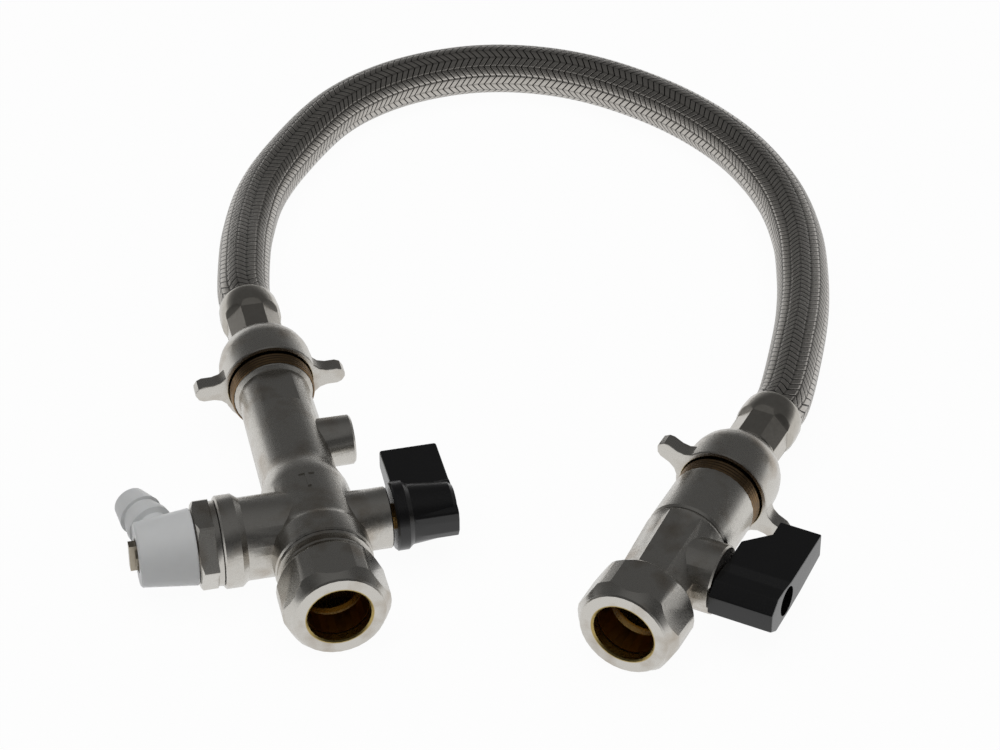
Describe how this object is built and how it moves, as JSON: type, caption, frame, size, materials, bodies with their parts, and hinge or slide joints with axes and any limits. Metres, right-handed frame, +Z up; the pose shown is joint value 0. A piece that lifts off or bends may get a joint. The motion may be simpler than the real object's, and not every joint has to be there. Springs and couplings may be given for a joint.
{
  "type": "filling loop",
  "caption": "Braided hose between a check valve body with lever and drain outlet and a plain ball valve, each with a hexagon compression nut for 15 mm pipe.",
  "frame": {"origin": "on the table, at the centre of the bounding box of everything but the hose", "axes": "+X to the right from the valve with the drain to the plain valve, +Y away from the pipe ends towards the hose's loop, +Z up from the table"},
  "size_m": [0.1791, 0.2571, 0.024],
  "materials": {
    "nickel_plate": "satin nickel plate on brass",
    "raw_brass": "bare turned brass",
    "chromed_brass": "polished chrome plate",
    "black_plastic": "smooth black moulding",
    "white_plastic": "smooth white moulding",
    "inner_plastic": "white moulding",
    "seal_plastic": "waxy white",
    "steel": "bright zinc plate",
    "ferrule_steel": "pressed stainless steel",
    "rubber": "black rubber",
    "hose_braid": "rubber hose in a braid of stainless steel wire"
  },
  "bodies": {
    "fixed_parts": {"nut_a": "nickel_plate", "olive_a": "raw_brass", "inlet_a": "nickel_plate", "body_a": "nickel_plate", "seat_a1": "seal_plastic", "seat_a2": "seal_plastic", "stem_ring_a": "rubber", "check_housing_1": "inner_plastic", "check_spring_1": "steel", "check_housing_2": "inner_plastic", "check_spring_2": "steel", "drain_insert": "nickel_plate", "drain_washer": "rubber", "spout_ring": "rubber", "nut_b": "nickel_plate", "olive_b": "raw_brass", "body_b": "nickel_plate", "outlet_b": "nickel_plate", "seat_b1": "seal_plastic", "seat_b2": "seal_plastic", "stem_ring_b": "rubber", "washer_a": "rubber", "tail_a": "raw_brass", "ferrule_a": "ferrule_steel", "washer_b": "rubber", "tail_b": "raw_brass", "ferrule_b": "ferrule_steel", "hose": "hose_braid"},
    "lever_a": {"handle_a": "black_plastic", "screw_a": "steel", "stem_a": "raw_brass", "ball_a": "chromed_brass"},
    "lever_b": {"handle_b": "black_plastic", "screw_b": "steel", "stem_b": "raw_brass", "ball_b": "chromed_brass"},
    "outlet_swivel": {"drain_spout": "white_plastic"},
    "drain_screw": {"drain_spindle": "raw_brass"},
    "union_a": {"wing_nut_a": "nickel_plate"},
    "union_b": {"wing_nut_b": "nickel_plate"},
    "check_1": {"check_poppet_1": "inner_plastic"},
    "check_2": {"check_poppet_2": "inner_plastic"}
  },
  "joints": [
    {"name": "lever_a_turn", "type": "hinge", "parent": "fixed_parts", "child": "lever_a", "pos_m": [-0.03693, -0.02567, 0.012], "axis": [0.9732, 0.23, 0], "range_deg": [0, 90]},
    {"name": "lever_b_turn", "type": "hinge", "parent": "fixed_parts", "child": "lever_b", "pos_m": [0.04784, -0.03864, 0.012], "axis": [0.8965, -0.4431, 0], "range_deg": [0, 90]},
    {"name": "outlet_swivel_turn", "type": "hinge", "parent": "fixed_parts", "child": "outlet_swivel", "pos_m": [-0.07099, -0.03372, 0.012], "axis": [-0.9732, -0.23, 0], "continuous": true},
    {"name": "drain_screw_turn", "type": "hinge", "parent": "fixed_parts", "child": "drain_screw", "pos_m": [-0.07099, -0.03372, 0.012], "axis": [-0.9732, -0.23, 0], "range_deg": [0, 180]},
    {"name": "union_a_turn", "type": "hinge", "parent": "fixed_parts", "child": "union_a", "pos_m": [-0.04997, 0.02951, 0.012], "axis": [-0.23, 0.9732, 0], "continuous": true},
    {"name": "union_b_turn", "type": "hinge", "parent": "fixed_parts", "child": "union_b", "pos_m": [0.06073, -0.01255, 0.012], "axis": [0.4431, 0.8965, 0], "continuous": true},
    {"name": "check_1_open", "type": "slide", "parent": "fixed_parts", "child": "check_1", "axis": [-0.23, 0.9732, 0], "range_m": [0, 0.0035], "stiffness_N_per_m": 150, "springref_m": -0.003, "deforming": ["check_spring_1"]},
    {"name": "check_2_open", "type": "slide", "parent": "fixed_parts", "child": "check_2", "axis": [-0.23, 0.9732, 0], "range_m": [0, 0.0035], "stiffness_N_per_m": 150, "springref_m": -0.003, "deforming": ["check_spring_2"]}
  ]
}
